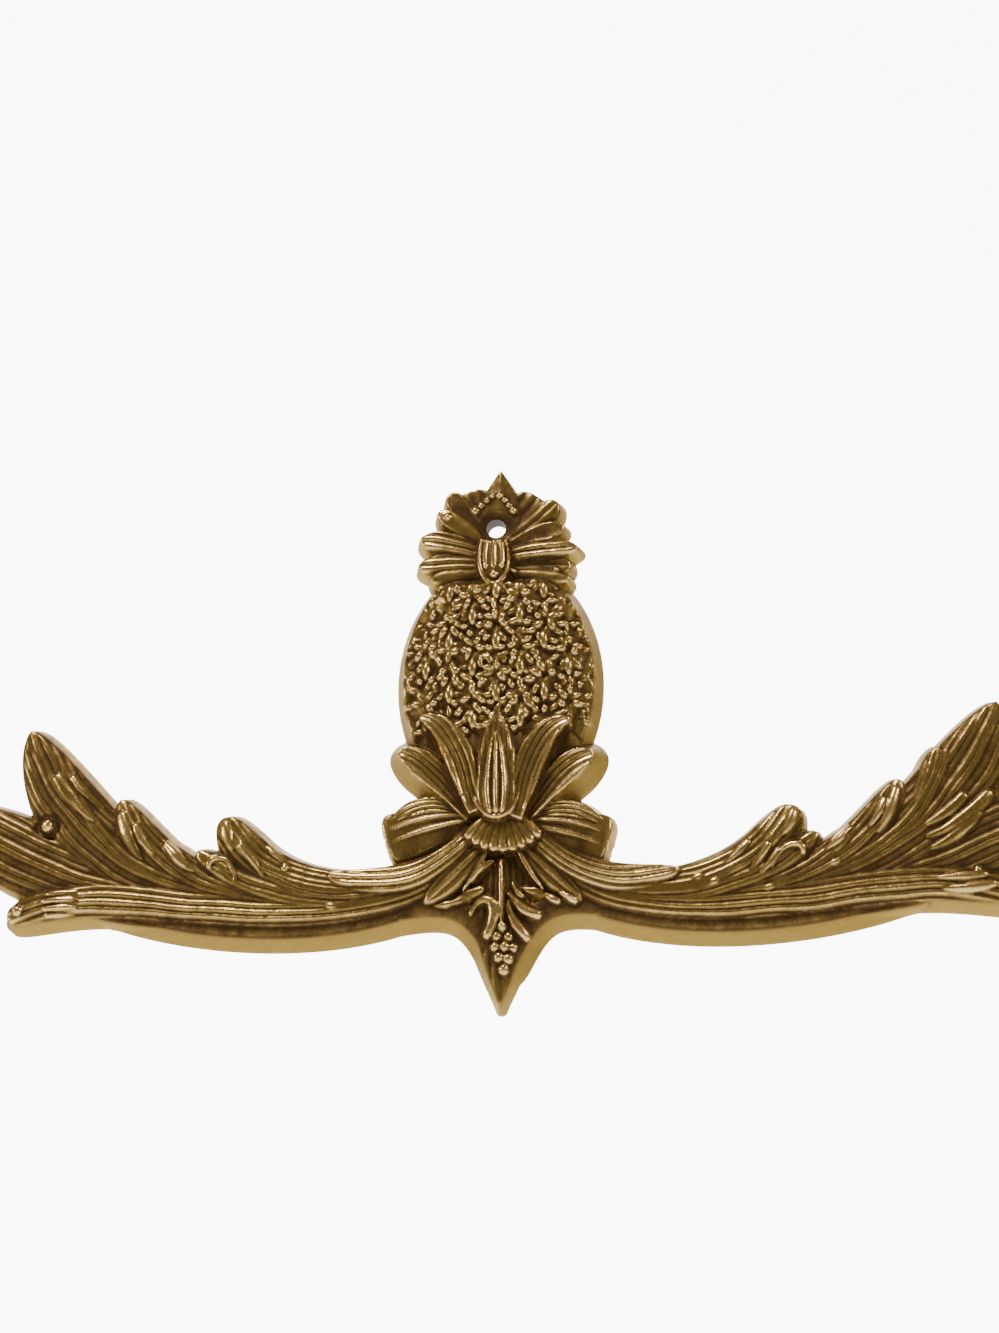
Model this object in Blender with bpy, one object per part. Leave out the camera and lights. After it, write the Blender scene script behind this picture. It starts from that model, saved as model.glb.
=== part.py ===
"""Cast brass wall pediment: a pineapple on a leafy calyx, with an acanthus wing to each side.

The object is one casting. Every leaf is a small closed solid that follows a curved midline, and
the casting is the union of them all, ground flat at the back. The two wings come from one table.
The left one sits a little higher, its tall and short leaves follow paths of their own, and only
the right tall leaf has a corner. The crown isn't mirrored: its leaves are cut freehand, and its
bud and nail hole sit off the axis, like the fruit.

X runs to the right, Z up, and the front faces -Y. The flat back lies in the wall plane Y = 0.
The origin is on the back, behind the middle of the fruit. All tables are in millimetres.
"""

import math
from typing import NamedTuple

import bmesh
import bpy

MM = 0.001

# Driving dimensions
WALL_DRAFT = 1.4  # how far the side walls flare out from the front edge to the back
RIM_DRAFT = 3.0  # the same along the lower edge of the wings
DROP_DRAFT = 3.2  # the same around the pendant leaf at the bottom
FRUIT_DRAFT = 2.3  # the same around the fruit
GRIND_OVERLAP = 1.5  # how far the raw forms reach behind the wall plane before grinding
DEPTH_STEP = 0.05  # each raw form ends a little deeper than the last, so no backs coincide
ROOT_FADE = 0.12  # share of a leaf's length over which its crest rises from its root
TIP_START = 0.6  # share of a leaf's length after which a sharp tip loses its draft
TIP_CROWDING = 1.4  # above 1, the steps along a leaf get shorter towards its tip
WELD_DISTANCE = 0.02  # points of a leaf nearer to each other than this become one
FRUIT_CENTRE_X = -1.1
FRUIT_CENTRE_Z = -4.0
FRUIT_HALF_WIDTH = 25.0
FRUIT_HALF_HEIGHT = 33.6
FRUIT_EDGE = 5.5
FRUIT_RISE = 5.2
SCALE_PITCH_X = 12.4  # one fruitlet to the next along a row
SCALE_PITCH_Z = 7.0  # one row of fruitlets to the next
SCALE_ROWS = range(-2, 4)
SCALE_COLUMNS = range(-3, 4)
SCALE_HALF_X = 0.56 * SCALE_PITCH_X  # half the base of a fruitlet, a little over half the pitch
SCALE_HALF_Z = 1.06 * SCALE_PITCH_Z
SCALE_TOP = 0.42  # size of a fruitlet's flat top, as a share of its base
SCALE_PROUD = 1.6  # how far a fruitlet stands above the fruit
SCALE_ROOT = 3.0  # how deep it is sunk into the fruit
SCALE_LIMIT = 0.86  # how near the outline fruitlets come, as a share of the fruit's size
NAIL_HOLE = (-1.5, 38.3)
NAIL_HOLE_RADIUS = 2.6
HOLE_SIDES = 24
CUTTER_REACH = 40.0
CUT_TOLERANCE = 1e-7  # in metres, for the cut along the wall plane
SMOOTH_ANGLE = 40.0  # edges sharper than this, in degrees, stay sharp
BRASS_COLOUR = (0.56, 0.40, 0.15, 1.0)

RIGHT = 1
LEFT = -1
# How far the leaves of each side sit from where their table puts them, in x and z
NO_OFFSETS = {RIGHT: (0.0, 0.0), LEFT: (0.0, 0.0)}
CALYX_OFFSETS = {RIGHT: (-1.3, -0.3), LEFT: (-1.9, 1.4)}
WING_OFFSETS = {RIGHT: (0.0, 0.3), LEFT: (-0.3, 0.9)}


class Leaf(NamedTuple):
    """One carved leaf. Its path is a Bezier curve in the wall plane, from root to tip."""

    name: str
    path: tuple  # control points (x, z)
    width: float  # greatest half width
    peak: float  # where along the path it is widest, from 0 to 1
    root: float  # half width at the root, as a share of the greatest
    point: float  # tip shape: 0.5 is round, 1 is pointed
    edge: float  # height of its edges above the back
    rise: float  # how much higher its crest is
    ribs: int = 1  # raised ribs across it
    rib: float = 0.0  # depth of the hollows between the ribs
    stations: int = 7  # steps along the path
    draft: float = WALL_DRAFT
    sharp: float = 0.0  # share of its draft that is lost at the tip
    mirrored: bool = True


def single(*values, **more):
    """A leaf that is cast once and not mirrored."""
    return Leaf(*values, mirrored=False, **more)


CROWN = (
    single("crown_spike", ((-0.6, 32), (-0.5, 44), (-0.2, 55.3)),
           6.2, 0.3, 0.7, 1.1, 5.6, 1.2, 2, 0.5, draft=1.2, sharp=0.5),
    single("crown_top_right", ((1, 35), (5, 41), (9.4, 47.3)), 5.0, 0.8, 0.4, 0.35, 5.0, 1.8, 2, 0.6),
    single("crown_upper_right", ((1, 34), (8, 38), (14.9, 45.3)), 3.4, 0.75, 0.4, 0.5, 5.3, 2.0, 2, 0.7),
    single("crown_side_right", ((1, 32), (8, 35.5), (16.8, 38.0)), 2.8, 0.7, 0.5, 0.6, 5.8, 2.2),
    single("crown_tip_right", ((1.5, 30), (10, 32.5), (20.6, 31.6)),
           3.2, 0.6, 0.5, 0.75, 6.0, 2.2, 2, 0.8),
    single("crown_lower_right", ((2, 27), (9, 27.6), (18.4, 26.8)), 3.2, 0.7, 0.5, 0.5, 5.8, 2.0),
    single("crown_edge_right", ((2, 25), (9, 24.4), (18.0, 22.8)), 2.0, 0.7, 0.6, 0.5, 6.6, 1.6),
    single("crown_top_left", ((-3, 37), (-6, 42), (-8.4, 49.5)), 4.6, 0.8, 0.4, 0.35, 5.0, 1.8, 2, 0.6),
    single("crown_corner_left", ((-4, 36), (-9, 40), (-13.9, 49.1)), 2.8, 0.8, 0.4, 0.45, 5.3, 1.8),
    single("crown_upper_left", ((-4, 34), (-10, 38.5), (-17.1, 43.6)), 2.6, 0.75, 0.4, 0.5, 5.7, 2.2),
    single("crown_side_left", ((-4, 30), (-12, 34.5), (-22.1, 35.6)),
           3.4, 0.7, 0.5, 0.6, 5.9, 2.2, 2, 0.8),
    single("crown_lower_left", ((-4, 27), (-12, 29.5), (-22.4, 27.9)),
           3.0, 0.7, 0.5, 0.55, 6.0, 2.0, 2, 0.7),
    single("crown_edge_left", ((-4, 25), (-11, 25.6), (-19.1, 24.1)), 2.4, 0.7, 0.5, 0.5, 6.4, 1.6),
    single("crown_bud", ((-1.6, 35), (-1.6, 28), (-1.6, 21.6)), 4.6, 0.6, 0.5, 0.6, 9.4, 2.6, 3, 0.9),
)

CALYX = (
    Leaf("side_leaf_lower", ((7, -43), (17, -43.8), (28.4, -47.3)),
         6.4, 0.93, 0.3, 0.25, 5.4, 1.4, draft=1.0),
    Leaf("side_leaf_middle", ((6, -41.6), (15, -40.8), (21, -41.8), (28.2, -45.0)),
         1.8, 0.6, 0.5, 0.8, 6.2, 1.7),
    Leaf("side_leaf_upper", ((6, -41), (14, -37.6), (20.5, -37.3), (27.2, -42.6)),
         2.3, 0.6, 0.5, 0.75, 6.4, 1.9, 2, 0.7),
    Leaf("outer_petal", ((6, -41.5), (14, -33), (18, -26.2), (26.2, -24.2)),
         4.9, 0.66, 0.4, 0.7, 6.8, 2.4, 2, 0.6, draft=2.4),
    Leaf("inner_petal", ((4.5, -41), (9.5, -32), (10.5, -19.5), (19.4, -18.0)),
         4.2, 0.5, 0.5, 0.9, 9.0, 2.0, 2, 0.7),
    single("bulb_tip", ((0.3, -34), (0.3, -26), (0.3, -14.6)), 5.4, 0.2, 0.9, 0.8, 10.0, 1.8, 3, 0.7),
    single("bulb", ((0.1, -41.8), (0.1, -33), (0.1, -20.5)), 5.8, 0.4, 0.0, 0.6, 9.8, 3.0, 3, 0.9),
)

DROP = (
    Leaf("drop_web", ((27, -63.4), (12, -61.2), (6, -63.2), (1.5, -80)),
         3.0, 0.4, 1.0, 0.5, 5.4, 0.7, stations=9, draft=DROP_DRAFT),
    Leaf("skirt_leaf", ((4, -47), (10, -53), (14, -57), (20.0, -62.4)),
         3.6, 0.55, 0.5, 0.7, 6.2, 1.7, 2, 0.7),
    Leaf("drop_curl", ((1.7, -61.4), (1.1, -65.6), (3.6, -68.8), (5.8, -71.2)),
         1.4, 0.5, 0.8, 0.4, 6.2, 1.6),
    Leaf("drop_bar", ((4.8, -59.0), (8.8, -60.2), (13.6, -62.4)), 1.3, 0.5, 0.7, 0.4, 6.3, 1.5),
    single("drop_leaf", ((-0.2, -48), (-0.5, -62), (-1.0, -88.8)),
           7.9, 0.34, 0.6, 1.1, 5.5, 1.5, 2, 0.6, stations=9, draft=DROP_DRAFT, sharp=0.5),
)

# The short ribs that fan out below the bulb
COLLAR_CENTRE = (0.3, -36.5)
COLLAR_INNER = 4.2
COLLAR_OUTER = 13.6
COLLAR_SPACING = 11.2  # degrees from one rib to the next
COLLAR_RIBS = 7
COLLAR_HALF_WIDTH = 1.5
COLLAR_EDGE = 7.5
COLLAR_RISE = 2.0
COLLAR_STEP = 0.07  # each rib starts a little higher than the last, so no two faces coincide

WING = (
    Leaf("wing_rim", ((9, -55), (20, -68.0), (52, -73.0), (84, -67.6), (104, -62.4)),
         2.6, 0.5, 0.8, 0.5, 4.8, 1.0, stations=12, draft=RIM_DRAFT),
    Leaf("end_leaf", ((40, -63), (90, -65), (122, -54), (148.5, -34)),
         9.4, 0.72, 0.35, 0.7, 4.6, 2.2, 4, 0.5, stations=11),
    single("tall_leaf_right", ((32, -62), (84, -66), (112, -50), (125.7, -14.3)),
           9.8, 0.72, 0.3, 0.64, 4.8, 2.4, 4, 0.5, stations=12),
    single("tall_leaf_left", ((-32, -61.4), (-84, -65.4), (-113.5, -49.4), (-126.1, -13.6)),
           9.0, 0.72, 0.3, 0.64, 4.8, 2.4, 4, 0.5, stations=12),
    single("tall_corner", ((89, -58), (102, -48), (107, -37.5), (110.4, -25.6)),
           3.4, 0.75, 0.4, 0.5, 4.8, 2.3, 2, 0.5, stations=8),
    single("tall_shoulder_right", ((40, -62), (86, -64), (106, -47.5), (112.4, -25.8)),
           3.5, 0.8, 0.4, 0.6, 4.9, 2.2, 2, 0.5, stations=10),
    single("tall_shoulder_left", ((-40, -61.4), (-87, -63.4), (-108, -47.5), (-114.4, -25.6)),
           3.1, 0.8, 0.4, 0.6, 4.9, 2.2, 2, 0.5, stations=10),
    Leaf("middle_leaf", ((16, -57), (62, -68), (91, -58.3), (100.2, -33.8)),
         5.3, 0.76, 0.3, 0.52, 5.2, 2.4, 3, 0.5, stations=11),
    Leaf("middle_shoulder", ((22, -59), (58, -67), (79, -58), (88.9, -45.3)),
         3.3, 0.8, 0.4, 0.5, 5.3, 2.2, 2, 0.5, stations=9),
    single("short_leaf_right", ((9, -49), (24, -65.4), (62.4, -64.2), (73.9, -39.8)),
           5.4, 0.84, 0.4, 0.42, 5.6, 2.4, 3, 0.6, stations=11),
    single("short_leaf_left", ((-9, -47.4), (-27, -62.4), (-61.4, -63.8), (-72.7, -38.9)),
           5.4, 0.84, 0.4, 0.42, 5.6, 2.4, 3, 0.6, stations=11),
    Leaf("short_shoulder", ((12, -53), (26, -62), (51, -64.0), (61.4, -52.6)),
         2.9, 0.8, 0.4, 0.5, 5.6, 2.2, 2, 0.5, stations=8),
    single("short_lobe_right", ((14, -55), (36, -67), (64, -62.5), (79.2, -46.8)),
           3.7, 0.8, 0.4, 0.5, 5.8, 2.0, 2, 0.6, stations=9),
    single("short_lobe_left", ((-14, -54.4), (-36, -66.4), (-64, -62.5), (-79.5, -47.5)),
           3.7, 0.8, 0.4, 0.5, 5.8, 2.0, 2, 0.6, stations=9),
    Leaf("end_curl", ((9, -48), (18, -66.6), (64, -73.4), (98, -50.5), (128.7, -64.8)),
         4.4, 0.86, 0.6, 0.35, 6.0, 1.6, 3, 0.6, stations=13, draft=2.3),
    Leaf("root_leaf", ((7, -44.5), (16, -56), (28, -60.2), (44.5, -55.6)),
         3.8, 0.6, 0.4, 0.5, 7.0, 2.2, 2, 0.7, stations=9),
)


def bezier(points, u):
    """The point at u of the Bezier curve with these control points, by repeated blending of neighbours."""
    while len(points) > 1:
        points = [
            tuple((1 - u) * a + u * b for a, b in zip(start, end))
            for start, end in zip(points, points[1:])
        ]
    return points[0]


def direction(points, u):
    """The unit tangent of the path at u."""
    steps = [(b[0] - a[0], b[1] - a[1]) for a, b in zip(points, points[1:])]
    x, z = bezier(steps, u)
    length = math.hypot(x, z)
    return x / length, z / length


def half_width(leaf, u):
    """Half the leaf's width at u: it swells from the root to its widest place and closes at the tip."""
    if u < leaf.peak:
        along = u / leaf.peak
        swell = math.sin(0.5 * math.pi * along) if leaf.root else math.sqrt(1 - (1 - along) ** 2)
        return leaf.width * (leaf.root + (1 - leaf.root) * swell)
    past = (u - leaf.peak) / (1 - leaf.peak)
    return leaf.width * max(0.0, 1 - past**2) ** leaf.point


def surface_point(leaf, u, t):
    """A point of the leaf's front, in millimetres. t runs from -1 to 1 across it."""
    x, z = bezier(leaf.path, u)
    ahead_x, ahead_z = direction(leaf.path, u)
    half = half_width(leaf, u)
    crest = leaf.rise * (1 - t * t)
    hollow = leaf.rib * 0.5 * (math.cos(math.pi * leaf.ribs * t) - 1)
    fade = math.sqrt(half / leaf.width) * min(1.0, u / ROOT_FADE)
    height = leaf.edge + fade * (crest + hollow)
    return x - ahead_z * t * half, -height, z + ahead_x * t * half


def new_object(name, bm, collection):
    """Turns a bmesh in millimetres into an object in metres."""
    bm.normal_update()
    bmesh.ops.recalc_face_normals(bm, faces=bm.faces)
    bmesh.ops.scale(bm, vec=(MM, MM, MM), verts=bm.verts)
    mesh = bpy.data.meshes.new(name)
    bm.to_mesh(mesh)
    bm.free()
    obj = bpy.data.objects.new(name, mesh)
    collection.objects.link(obj)
    return obj


def ordered_loop(verts):
    """The vertices of one closed ring of boundary edges, in order around it."""
    loop = [verts[0]]
    while len(loop) < len(verts):
        neighbours = [edge.other_vert(loop[-1]) for edge in loop[-1].link_edges if edge.is_boundary]
        loop.append(next(vert for vert in neighbours if vert not in loop))
    return loop


def flare_to_back(bm, leaf, depth):
    """Gives the open front surface its drafted side wall and a flat bottom, depth behind the wall plane."""
    rim = [edge for edge in bm.edges if edge.is_boundary]
    share = bm.verts.layers.float["along"]
    walls = bmesh.ops.extrude_edge_only(bm, edges=rim)["geom"]
    loop = ordered_loop([item for item in walls if isinstance(item, bmesh.types.BMVert)])
    turn = sum(a.co.x * b.co.z - b.co.x * a.co.z for a, b in zip(loop, loop[1:] + loop[:1]))
    outward = math.copysign(1.0, turn)
    moved = []
    for before, vert, after in zip(loop[-1:] + loop[:-1], loop, loop[1:] + loop[:1]):
        along_x = after.co.x - before.co.x
        along_z = after.co.z - before.co.z
        length = math.hypot(along_x, along_z)
        height = -vert.co.y
        tip = max(0.0, (vert[share] - TIP_START) / (1 - TIP_START))
        reach = leaf.draft * (1 - leaf.sharp * tip) * (height + depth) / height
        step_x = outward * along_z / length * reach
        step_z = -outward * along_x / length * reach
        moved.append((vert, (vert.co.x + step_x, depth, vert.co.z + step_z)))
    for vert, place in moved:
        vert.co = place
    bm.faces.new(loop)


def leaf_solid(leaf, side, offset, collection):
    """One leaf as a closed solid: a ribbed front, drafted walls and a flat bottom."""
    bm = bmesh.new()
    share = bm.verts.layers.float.new("along")
    across = max(2 * leaf.ribs, 4)
    bmesh.ops.create_grid(bm, x_segments=leaf.stations, y_segments=across, size=1.0)
    for vert in bm.verts:
        vert[share] = 1 - (0.5 - 0.5 * vert.co.x) ** TIP_CROWDING
        vert.co = surface_point(leaf, vert[share], vert.co.y)
    bmesh.ops.remove_doubles(bm, verts=bm.verts, dist=WELD_DISTANCE)
    flare_to_back(bm, leaf, GRIND_OVERLAP + DEPTH_STEP * len(collection.objects))
    for vert in bm.verts:
        vert.co.x = vert.co.x * side + offset[0]
        vert.co.z += offset[1]
    return new_object(leaf.name, bm, collection)


def collar_leaves():
    """The short ribs that fan out below the bulb."""
    x, z = COLLAR_CENTRE
    for number in range(COLLAR_RIBS):
        angle = math.radians(COLLAR_SPACING * (number - 0.5 * (COLLAR_RIBS - 1)))
        side, down = math.sin(angle), math.cos(angle)
        path = (
            (x + COLLAR_INNER * side, z - COLLAR_INNER * down),
            (x + COLLAR_OUTER * side, z - COLLAR_OUTER * down),
        )
        edge = COLLAR_EDGE + COLLAR_STEP * number
        yield single(f"collar_rib_{number}", path,
                     COLLAR_HALF_WIDTH, 0.6, 0.7, 0.5, edge, COLLAR_RISE, stations=4)


def fruit_leaf():
    """The body of the fruit, a flattened egg, in the terms of a leaf."""
    bottom = FRUIT_CENTRE_Z - FRUIT_HALF_HEIGHT
    top = FRUIT_CENTRE_Z + FRUIT_HALF_HEIGHT
    path = ((FRUIT_CENTRE_X, bottom), (FRUIT_CENTRE_X, top))
    return single("fruit_body", path, FRUIT_HALF_WIDTH, 0.5, 0.0, 0.5, FRUIT_EDGE,
                  FRUIT_RISE, 3, stations=14, draft=FRUIT_DRAFT)


def fruit_height(x, z):
    """Height of the smooth fruit body above the back, at x and z from the middle of the fruit."""
    along = z / FRUIT_HALF_HEIGHT
    half = FRUIT_HALF_WIDTH * math.sqrt(1 - along * along)
    return FRUIT_EDGE + FRUIT_RISE * math.sqrt(half / FRUIT_HALF_WIDTH) * (1 - (x / half) ** 2)


def fruitlet_solid(name, x, z, collection):
    """One fruitlet: a four-sided stud with a diamond base and a small flat top."""
    length = SCALE_ROOT + SCALE_PROUD
    middle = fruit_height(x, z) + SCALE_PROUD - length / 2
    bm = bmesh.new()
    bmesh.ops.create_cone(bm, cap_ends=True, segments=4, radius1=1.0, radius2=SCALE_TOP, depth=length)
    for vert in bm.verts:
        across, along, out = vert.co
        place_x = FRUIT_CENTRE_X + x + across * SCALE_HALF_X
        place_z = FRUIT_CENTRE_Z + z + along * SCALE_HALF_Z
        vert.co = (place_x, -(middle + out), place_z)
    return new_object(name, bm, collection)


def fruitlets(collection):
    """The staggered rows of fruitlets."""
    for row in SCALE_ROWS:
        z = row * SCALE_PITCH_Z
        shift = 0.5 * (row % 2)
        for column in SCALE_COLUMNS:
            x = (column + shift) * SCALE_PITCH_X
            if math.hypot(x / FRUIT_HALF_WIDTH, z / FRUIT_HALF_HEIGHT) < SCALE_LIMIT:
                fruitlet_solid(f"fruitlet_{row}_{column}", x, z, collection)


def ground_flat(raw, name, collection):
    """The raw casting as one mesh, cut off in the wall plane and closed with a flat back."""
    depsgraph = bpy.context.evaluated_depsgraph_get()
    mesh = bpy.data.meshes.new_from_object(raw.evaluated_get(depsgraph))
    mesh.name = name
    bm = bmesh.new()
    bm.from_mesh(mesh)
    everything = [*bm.verts, *bm.edges, *bm.faces]
    bmesh.ops.bisect_plane(bm, geom=everything, dist=CUT_TOLERANCE, plane_co=(0, 0, 0), plane_no=(0, 1, 0),
                           clear_outer=True)
    rim = [edge for edge in bm.edges if edge.is_boundary]
    bmesh.ops.triangle_fill(bm, edges=rim, use_beauty=True, normal=(0, 1, 0))
    bmesh.ops.recalc_face_normals(bm, faces=bm.faces)
    bm.to_mesh(mesh)
    bm.free()
    mesh.set_sharp_from_angle(angle=math.radians(SMOOTH_ANGLE))
    obj = bpy.data.objects.new(name, mesh)
    collection.objects.link(obj)
    return obj


def nail_hole_cutter(collection):
    bm = bmesh.new()
    bmesh.ops.create_cone(bm, cap_ends=True, segments=HOLE_SIDES, radius1=NAIL_HOLE_RADIUS,
                          radius2=NAIL_HOLE_RADIUS, depth=CUTTER_REACH)
    hole_x, hole_z = NAIL_HOLE
    for vert in bm.verts:
        across, up, out = vert.co
        vert.co = (across + hole_x, out, up + hole_z)
    return new_object("nail_hole", bm, collection)


def add_boolean(obj, name, operation, other):
    """Joins or cuts an object with another object, or with all those of a collection."""
    modifier = obj.modifiers.new(name, "BOOLEAN")
    modifier.operation = operation
    modifier.solver = "EXACT"
    if isinstance(other, bpy.types.Collection):
        modifier.operand_type = "COLLECTION"
        modifier.collection = other
    else:
        modifier.object = other


def brass():
    material = bpy.data.materials.new("cast_brass")
    material.use_nodes = True
    shader = material.node_tree.nodes["Principled BSDF"]
    shader.inputs["Base Color"].default_value = BRASS_COLOUR
    shader.inputs["Metallic"].default_value = 1.0
    shader.inputs["Roughness"].default_value = 0.32
    return material


def new_collection(name):
    collection = bpy.data.collections.new(name)
    bpy.context.scene.collection.children.link(collection)
    return collection


def hide_helpers(collection):
    """Marks the forms and cutters as helpers: only the finished casting shows."""
    for obj in collection.objects:
        obj.hide_render = True
        obj.display_type = "WIRE"


def clear_scene():
    for obj in list(bpy.data.objects):
        bpy.data.objects.remove(obj)


def build():
    clear_scene()
    casting = new_collection("pineapple_pediment")
    forms = new_collection("relief_forms")
    cutters = new_collection("cutters")

    groups = (
        (CROWN, NO_OFFSETS),
        (WING, WING_OFFSETS),
        (DROP, NO_OFFSETS),
        (CALYX, CALYX_OFFSETS),
        (collar_leaves(), NO_OFFSETS),
    )
    for leaves, offsets in groups:
        for leaf in leaves:
            for side in (RIGHT, LEFT) if leaf.mirrored else (RIGHT,):
                leaf_solid(leaf, side, offsets[side], forms)
    fruitlets(forms)
    raw_casting = new_collection("raw_casting")
    raw = leaf_solid(fruit_leaf(), RIGHT, NO_OFFSETS[RIGHT], raw_casting)
    add_boolean(raw, "join_relief", "UNION", forms)
    pediment = ground_flat(raw, "pineapple_pediment", casting)
    bpy.data.objects.remove(raw)
    bpy.data.collections.remove(raw_casting)
    pediment.data.materials.append(brass())
    add_boolean(pediment, "drill_nail_hole", "DIFFERENCE", nail_hole_cutter(cutters))
    hide_helpers(forms)
    hide_helpers(cutters)


build()
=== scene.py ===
"""Looks of the cast brass pineapple pediment: its carved surface, its patina, and the studio."""

import math
from typing import NamedTuple

import bmesh
import bpy
import numpy as np
from mathutils import Matrix, Vector


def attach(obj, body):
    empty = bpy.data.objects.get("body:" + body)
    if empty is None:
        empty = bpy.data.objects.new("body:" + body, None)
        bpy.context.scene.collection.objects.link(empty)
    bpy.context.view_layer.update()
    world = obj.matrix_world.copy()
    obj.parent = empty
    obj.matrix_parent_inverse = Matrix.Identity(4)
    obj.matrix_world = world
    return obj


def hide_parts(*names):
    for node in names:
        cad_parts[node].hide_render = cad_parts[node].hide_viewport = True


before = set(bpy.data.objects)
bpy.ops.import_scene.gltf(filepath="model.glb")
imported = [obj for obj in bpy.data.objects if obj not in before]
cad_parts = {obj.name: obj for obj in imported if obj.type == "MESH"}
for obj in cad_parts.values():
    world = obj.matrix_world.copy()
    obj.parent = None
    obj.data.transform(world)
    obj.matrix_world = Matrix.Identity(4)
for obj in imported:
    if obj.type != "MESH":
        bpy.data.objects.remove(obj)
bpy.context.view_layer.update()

MM = 0.001

# Side walls: how far they flare out from the front edge to the back, in millimetres
WALL_DRAFT = 1.4
RIM_DRAFT = 3.0
DROP_DRAFT = 3.2
FRUIT_DRAFT = 2.3

# Grid of the height field, in millimetres
CELL = 0.27
GRID_LEFT = -152.0
GRID_RIGHT = 152.0
GRID_BOTTOM = -93.0
GRID_TOP = 58.5
MOST_TRIANGLES = 186000  # of the front and sides, before the back is closed
PATH_SAMPLES = 140
BELOW = -3.0  # height of the field where there is no metal
SKIRT_EDGE = -0.7  # the mesh goes on down to here at least, past the wall plane where it is cut off
SKIRT_BOTTOM = -2.5

LEAST = 1e-6  # what a divisor is kept above
WALL_PLANE_TOLERANCE = 1e-7  # in metres

# Carving of the leaves. Places along and across a leaf are shares of its length and half width
ROOT_FADE = 0.12  # over this stretch a leaf rises from its root
TIP_START = 0.6  # from here to the tip the side walls lose their share of draft
END_TOLERANCE = 0.02  # in millimetres
WALL_REACH = 1.5  # how far out the side walls are worked out, as a share of their draft
WALL_MARGIN = 0.5
CROWN_POWER = 2.8  # above 2, a leaf's cross-section is flatter on top and steeper at its edges
STRAND_START = 0.85  # the strands' spacing at the root, as a share of the leaf's own
STRAND_GROWTH = 0.3  # how much wider they are at the tip
STRAND_POWER = 0.8  # below 1, the cuts between them are narrower than the strands
STRAND_WOBBLE = 0.5
PUFF_PLACE = 0.88
PUFF_LENGTH = 0.06
DISH_FALL = 1.6  # how fast a dish gets shallower towards the leaf's edges
LIP_PLACE = 0.82  # where across a leaf its raised rim lies
LIP_WIDTH = 0.12

# Carving of the rolls
ROLL_PEAK = 0.62  # where along a roll it is fattest
ROLL_CLOSING = 0.6  # over this stretch past its peak it would close
ROLL_POWER = 0.7
ROLL_THIN = 0.25  # its half width at its start, as a share of the greatest
ROLL_LOW = 0.3  # its rise at its start, as a share of the greatest

FRUIT_CENTRE_X = -1.1
FRUIT_CENTRE_Z = -4.0
FRUIT_HALF_WIDTH = 25.0
FRUIT_HALF_HEIGHT = 33.6
FRUIT_END = 1e-4  # what the square of its share of the full width is kept above at its ends
FRUIT_EDGE = 5.5
FRUIT_RISE = 5.0
FRUIT_SEED = 7
SCALE_PITCH_X = 12.4
SCALE_PITCH_Z = 7.0
SCALE_ROWS = range(-4, 6)
SCALE_COLUMNS = range(-3, 4)
SCALE_RISE = 1.2  # how much each fruitlet swells
SCALE_SEAM = 0.9  # how far the seams between them sink
SEAM_FADE = 8  # the greater, the nearer to the fruit's edge the seams fade out
BEAD_RINGS = ((2.2, 6), (4.5, 11))  # radius and number of beads
BEAD_LIFT = 0.8  # how far above the middle of the fruitlet the rings lie
BEAD_TURN = 0.16  # unevenness of the beads round their ring, as a share of their spacing
BEAD_SHIFT = 0.4
BEAD_LEAN = 0.5  # in radians
BEAD_LONG = (1.1, 2.0)  # half axes and rise, from least to most
BEAD_WIDE = (0.8, 1.1)
BEAD_RISE = (0.9, 1.5)
BEAD_SINK = 0.2
BEAD_REACH = (1.0, 1.2)  # how far beads spread, as a share of the fruitlet's diamond
BEAD_MARGIN = 0.4  # how far inside the fruit's edge they stop
BEAD_SHARE = 0.93  # how many of the beads are there, where the rest are worn away
BEAD_TOP = 25.5  # from the fruit's middle: above it the crown covers the fruit
BEAD_BOTTOM = -14.5  # and below this the calyx does
DIMPLE_SHARE = 0.7  # how near the middle of a fruitlet its dimple begins
DIMPLE_DEPTH = 1.1
FRUIT_TOP = 28.5  # from its middle: here it has sunk to the height of its edge, behind the crown
FRUIT_TOP_FALL = 3.0
TONGUE_HALF_WIDTH = 1.2
TONGUE_HALF_LENGTH = 2.4
TONGUE_DROP = 4.6  # how far the tongue hangs below the middle of its fruitlet
TONGUE_RISE = 1.2
TONGUE_MARGIN = 3
TONGUE_CLEAR = 0.8  # how far down a ring, in shares of its radius, beads would lie on the tongue

NAIL_HOLE = (-1.5, 38.3)
NAIL_HOLE_RADIUS = 2.6
HOLE_LEVEL = 5.6  # height of the flat rim round the hole
HOLE_SLOPE = 1.5  # width of the slope from the carving down to that rim
HOLE_SLOPE_END = 1.4  # where the slope begins, in its own widths from the hole
HOLE_OVERRUN = 1.0  # how far the hole's wall runs on behind the wall plane before it is cut off

# The cast surface, in millimetres
GROUND_BLUR = 0.7  # softening of the ground that rolls and beads stand on
BEAD_SHAPE = 0.9  # rise of a round bead, as a share of its radius
CAST_BLUR = 0.17
FINE_GRAIN = 0.016
BROAD_GRAIN = 0.035
GRAIN_FADE = 2.5  # below this height the unevenness fades away
SHARP_ANGLE = 60  # in degrees

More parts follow.
